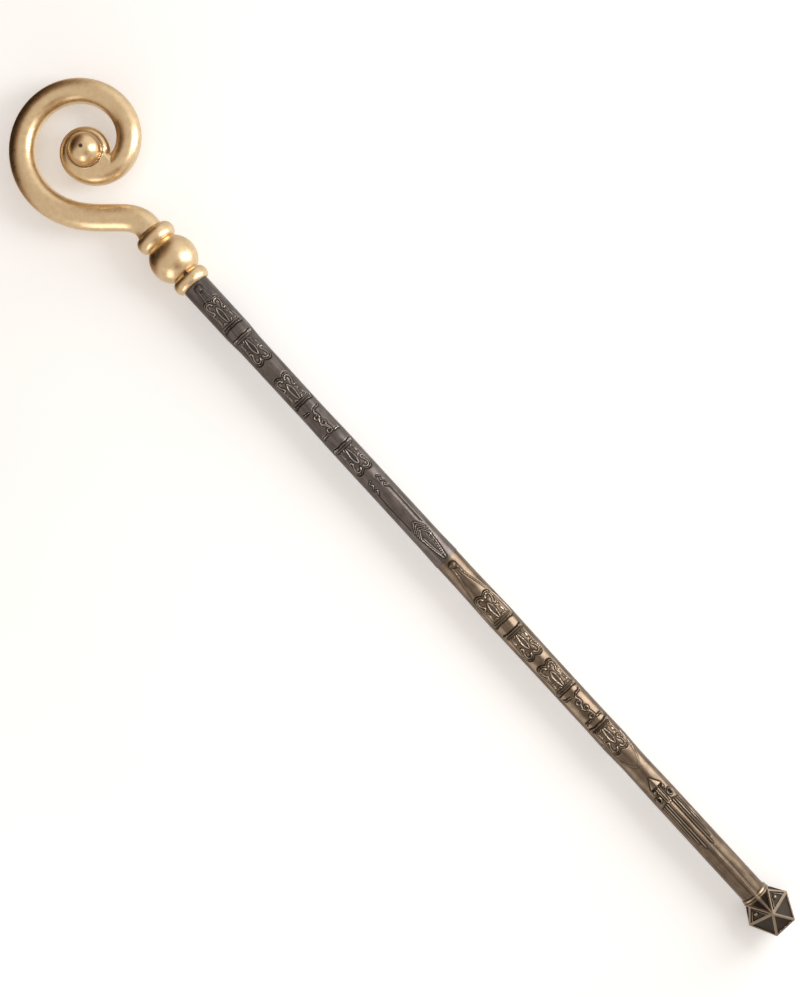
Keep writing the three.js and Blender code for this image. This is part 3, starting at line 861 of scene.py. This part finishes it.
def spearhead(relief):
    tip, base, half = SPEAR_TIP, SPEAR_BASE, SPEAR_HALF
    right = [(3.6, tip - 6.4), (half, base), (4, base - 0.4)]
    left = [(-u, v) for u, v in reversed(right)]
    relief.raise_inside([(0, tip)] + right + [(0, base - 0.8)] + left, 0.8, edge=0.6)
    share = np.clip((tip - relief.v) / (tip - base), 0, 1) * (relief.v > base)
    facet = 1.9 * np.clip(1 - np.abs(relief.u) / np.maximum(half * share, 0.2), 0, 1) * share ** 0.5
    relief.plate = np.maximum(relief.plate, np.where(share > 0, 0.8 * (facet > 0) + facet, 0))
    relief.both(relief.cut, [(0.8, tip + 0.6), (half + 0.6, base + 0.2)], width=0.6, depth=0.6)
    barb = [(half, base - 1.6), (3.0, base - 1.8), (3.0, base - 3.6), (6, base - 2.2)]
    relief.both(relief.cut, barb, width=1.0, depth=1.2)
    relief.cut([(0, tip - 2), (0, base)], width=0.35, depth=0.4)


def ridge(relief, half=3.2, rise=2.3):
    top = SPEAR_BASE
    flank = np.clip(1 - np.abs(relief.u) / half, 0, 1) * smoothstep(top - relief.v, 0, 4)
    relief.plate = np.maximum(relief.plate, rise * flank)
    edge = [(3.0, top - 2), (2.9, top - 14), (2.6, top - 25)]
    relief.both(relief.bead, edge, width=0.8, rise=0.8, channel=0.6)
    relief.both(relief.bead, [(1.6, top - 24.5), (1.6, top - 25.7)], width=1.3, rise=1.3)
    relief.both(relief.cut, [(3.8, top - 28), (3.8, STAFF_END + 8)], width=0.6, depth=0.35)


def rosettes(relief, u=9.4, across=3.5, along=3.9):
    top = SPEAR_BASE
    middle = top - 16
    hook = [(5.6, top - 5.5), (7.2, top - 4.4), (7.6, top - 6.8), (5.4, top - 8)]
    relief.both(relief.bead, hook, channel=0.5)
    relief.both(relief.cut, [(5.2, top - 8.6), (5.9, top - 10)], width=1.0, depth=1.3)
    turns = np.radians(np.arange(0, 361, 45))
    for side in (u, -u):
        ring = [(side + across * math.cos(turn), middle + along * math.sin(turn)) for turn in turns]
        relief.bead(ring, width=1.0, rise=1.0, channel=0.5)
    relief.both(relief.cut, [(u, middle + 1), (u - 0.2, middle - 1)], width=1.9, depth=1.6)


def flutes(relief):
    top = SPEAR_BASE
    for number, u in enumerate((4.9, 8.3, 11.6, 14.6)):
        path = [(u, top - 26 - number), (u * 1.03, top - 54), (u * 1.06, top - 98 + 9 * number)]
        relief.both(relief.bead, path, width=1.1, rise=0.7, channel=0.55)


def lower_relief(relief, plain=False):
    stud(relief, -473)
    arch_lines(relief, -475)
    for end, way in LOWER_CARTOUCHES:
        cartouche(relief, end, way, plain)
    filigree(relief, -692, -733, plain)
    narrowing = [(17, SPEAR_TIP + 67), (14, SPEAR_TIP + 42), (7, SPEAR_TIP + 26), (0.8, SPEAR_TIP + 19)]
    relief.both(relief.bead, narrowing, width=1.0, rise=0.5, channel=0.3)
    spearhead(relief)
    ridge(relief)
    rosettes(relief)
    flutes(relief)


print("spearhead at", SPEAR_TIP, "and end of the staff at", STAFF_END)

# %% [markdown]
# The pommel is a square prism with a low pyramid on each side. A convex hull of its corners gives the
# solid, and insets sink a panel into every face, which leaves the ribs along the edges. A round boss and
# two slanting struts lie on each upper corner face, three beads on each lower edge. The staff's ridge runs
# on to the tip of the pyramid at the front, and so at the back. A collar ring closes the pommel to the
# staff, and the tip that looks down is cut flat where it rests on the floor.

# %% Pommel
TOP, WIDEST, BOTTOM = STAFF_END, -1056, -1085
TOP_HALF, APEX, BOTTOM_HALF = 15.6, 31.8, 15.2
RIB, BEVEL, SUNK = 1.9, 0.5, 1.4                # width of the ribs, and the panels' edge and depth
COLLAR_RING = [(12, 8), (16.9, 6.8), (18.4, 5.2), (18.8, 3.4), (17.9, 2.4), (18.9, 1.4), (19.4, 0.2),
               (18.6, -1.6), (16.4, -3.4), (12, -4)]
FRONT_RIDGE = [(-2.6, TOP + 8, 15), (2.6, TOP + 8, 15), (0, TOP + 8, 19.4), (-1.6, WIDEST, 29.5),
               (1.6, WIDEST, 29.5), (0, WIDEST, APEX + 0.6)]
# Shares of painted shade on the sunk panels, and of painted highlight on the ribs and the trim.
PANEL_SHADE, RIB_HIGHLIGHT, TRIM_HIGHLIGHT = 0.8, 0.5, 0.45


def quarter_turn(quarter, point):
    return Matrix.Rotation(math.pi / 2 * quarter, 3, "Y") @ Vector(point)


def corner_face_point(quarter, up, across, lift=0.0):
    """A point on an upper corner face: up from its long lower edge to its corner, lift out of the face."""
    apex, next_apex = np.array((0, WIDEST, APEX)), np.array((APEX, WIDEST, 0))
    corner = np.array((TOP_HALF, TOP, TOP_HALF))
    out = np.cross(next_apex - apex, corner - apex)
    out /= np.linalg.norm(out)
    return quarter_turn(quarter, (1 - up) * (apex + (next_apex - apex) * across) + up * corner + out * lift)


def ball_at(place, radius, around, along):
    bm = bmesh.new()
    bmesh.ops.create_uvsphere(bm, u_segments=around, v_segments=along, radius=radius)
    bmesh.ops.translate(bm, verts=bm.verts, vec=place)
    return bm


def strut(quarter, low, high, foot=0.1, head=0.62, sides=((0.035, -1.8), (0.02, 0.1))):
    """A bar on a corner face, from low near its edge to high near its corner, wider at its sunk side."""
    return closed_hull([corner_face_point(quarter, up, place + hand * half, lift)
                        for up, place in ((foot, low), (head, high))
                        for half, lift in sides for hand in (-1, 1)])


def pommel_trim():
    parts = []
    for quarter in range(4):
        parts.append(ball_at(corner_face_point(quarter, 0.42, 0.5, -0.6), 3.0, 24, 12))
        parts += [strut(quarter, 0.16, 0.34), strut(quarter, 0.84, 0.66)]
        for across in (-0.51, 0, 0.51):
            place = across * BOTTOM_HALF, BOTTOM + 1.6, BOTTOM_HALF - 0.4
            parts.append(ball_at(quarter_turn(quarter, place), 1.5, 12, 8))
    parts += [closed_hull([(x, y, side * z) for x, y, z in FRONT_RIDGE]) for side in (1, -1)]
    parts.append(turned([(radius, TOP + rise) for radius, rise in COLLAR_RING], steps=72, closed=True))
    return parts


def pommel():
    corners = [(APEX * x, WIDEST, APEX * z) for x, z in ((0, 1), (-1, 0), (0, -1), (1, 0))]
    for half, height in ((TOP_HALF, TOP), (BOTTOM_HALF, BOTTOM)):
        corners += [(half * x, height, half * z) for x, z in ((1, 1), (-1, 1), (-1, -1), (1, -1))]
    bm = closed_hull(corners)
    bmesh.ops.dissolve_limit(bm, angle_limit=math.radians(1), verts=bm.verts, edges=bm.edges)
    bmesh.ops.recalc_face_normals(bm, faces=bm.faces)
    sides = [face for face in bm.faces if abs(face.normal.y) < 0.9]
    bmesh.ops.inset_individual(bm, faces=sides, thickness=RIB, depth=0, use_even_offset=True)
    bmesh.ops.inset_individual(bm, faces=sides, thickness=BEVEL, depth=-SUNK, use_even_offset=True)
    # The sunk panels get painted shade, and the ribs and the trim a painted highlight.
    hollow, crest = bm.verts.layers.float.new("hollow"), bm.verts.layers.float.new("crest")
    sunk = {vertex for face in sides for vertex in face.verts}
    for vertex in bm.verts:
        vertex[hollow], vertex[crest] = (PANEL_SHADE, 0) if vertex in sunk else (0, RIB_HIGHLIGHT)
    for part in pommel_trim():
        for vertex in join(bm, part):
            vertex[hollow], vertex[crest] = 0, TRIM_HIGHLIGHT
    bmesh.ops.bisect_plane(bm, geom=list(bm.verts) + list(bm.edges) + list(bm.faces), plane_co=(0, 0, -REST),
                           plane_no=(0, 0, -1), clear_outer=True)
    bmesh.ops.holes_fill(bm, edges=[edge for edge in bm.edges if edge.is_boundary], sides=0)
    return bm


def lower_section():
    fine, finest = WIDE_ROW * COARSER, ROW * COARSER
    rows = rows_between([(SEAM - GAP, -655, fine), (-655, -665, 2), (-665, -790, fine), (-790, -826, 1.6),
                         (-826, -876, finest), (-876, STAFF_END - 3, 2.4)])
    bm = sleeve(rows, LOWER_PROFILE, lower_relief, lambda relief: lower_relief(relief, plain=True))
    join(bm, pommel())
    dress(piece_from(bm, "lower_staff"), "staff_lower", BRONZE)


lower_section()

# %% [markdown]
# The screws stay as the CAD made them, small domed heads with a slot. They only need their steel.

# %% Screws
for name in ("screw_knop", "screw_boss"):
    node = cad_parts[name]
    node.data.materials.clear()
    node.data.materials.append(STEEL)
print("screws painted")

# %% [markdown]
# A plain pale floor carries the crosier. It stays out of the reflections, because metal shows mostly what
# it mirrors, and a white floor would wash out every curve.

# %% Floor
FLOOR_HALF, GLOW = 6, 0.22                      # metres, and how much light the floor adds of its own
DARKER_FLOOR, LIGHTER_FLOOR = (0.93, 0.93, 0.93, 1), (0.95, 0.95, 0.95, 1)


def floor():
    bm = bmesh.new()
    bmesh.ops.create_grid(bm, x_segments=4, y_segments=4, size=FLOOR_HALF)
    ground = piece_from(bm, "floor", to_frame=False)
    material = bpy.data.materials.new("pale_floor")
    tree = Tree(material)
    place = tree.node("ShaderNodeTexCoord", output=3)
    tint = tree.blend(tree.between(tree.noise(place, 3.0, 2.0, 0.5), 0.3, 0.7), DARKER_FLOOR, LIGHTER_FLOOR)
    tree.shader(Base_Color=tint, Roughness=0.9, Emission_Color=(1, 1, 1, 1), Emission_Strength=GLOW)
    ground.data.materials.append(material)
    ground.visible_glossy = False
    print("floor", 2 * FLOOR_HALF, "m wide")


floor()

# %% [markdown]
# Two soft boxes light it. The stronger one stands low on the right and draws the bright bands and spots of
# the gold. The weaker one fills the left side.

# %% Soft boxes
def soft_box(name, place, aim, width, length, radiance):
    data = bpy.data.lights.new(name, "AREA")
    data.shape, data.size, data.size_y = "RECTANGLE", width, length
    data.energy = radiance * math.pi * width * length
    light = bpy.data.objects.new(name, data)
    light.location = place
    light.rotation_euler = (Vector(place) - Vector(aim)).to_track_quat("Z", "Y").to_euler()
    bpy.context.collection.objects.link(light)
    print(name, round(data.energy, 1), "W")


soft_box("key_box", (1.2, -0.4, 0.72), (0, 0, 0.03), 0.75, 1.3, 5.6)
soft_box("fill_box", (-1.1, -0.38, 0.22), (0, 0.1, 0.03), 0.5, 1.0, 1.8)

# %% [markdown]
# The room itself is a pale grey that metal mirrors. It darkens behind the head, so that the top of the
# crook gets its deep brown edge, and its dark parts are warm, which keeps the shadows of the gold brown.
# Each shade of the room has a direction, a half width and a softness in degrees, and how much light it adds.

# %% Room
ROOM_LEVEL, LEAST_LEVEL = 0.74, 0.03
DARK_TINT, LIGHT_TINT = (1.0, 0.62, 0.36, 1), (1.0, 0.97, 0.93, 1)
SHADES = [
    ((-0.18, 0.91, 0.1), 40, 22, -0.6),
    ((-0.5, 0.8, -0.35), 34, 20, -0.5),
    ((0.92, 0.16, 0.35), 18, 24, 0.3),
    ((-0.16, -0.72, 0.67), 8, 16, -0.4),
    ((-0.27, -0.93, -0.25), 12, 16, -0.4),
    ((0.6, -0.4, -0.6), 28, 26, 0.3),
]


def room():
    world = bpy.data.worlds.new("room")
    bpy.context.scene.world = world
    tree = Tree(world)
    place = tree.node("ShaderNodeTexCoord", output=0)
    level = ROOM_LEVEL
    for direction, half, soft, added in SHADES:
        aim = Vector(direction).normalized()
        facing = tree.node("ShaderNodeVectorMath", {"operation": "DOT_PRODUCT"}, {0: place, 1: aim}, output=1)
        low, high = math.cos(math.radians(half + soft)), math.cos(math.radians(max(half - soft / 2, 0)))
        level = tree.between(facing, low, high, 0.0, added) + level
    tint = tree.blend(tree.between(level, 0.1, 0.9), DARK_TINT, LIGHT_TINT)
    strength = tree.maths("MAXIMUM", level, LEAST_LEVEL)
    background = tree.node("ShaderNodeBackground", None, {"Color": tint, "Strength": strength})
    tree.node("ShaderNodeOutputWorld", None, {"Surface": background})


room()
bpy.context.scene.view_settings.view_transform = "Standard"
print("room ready")
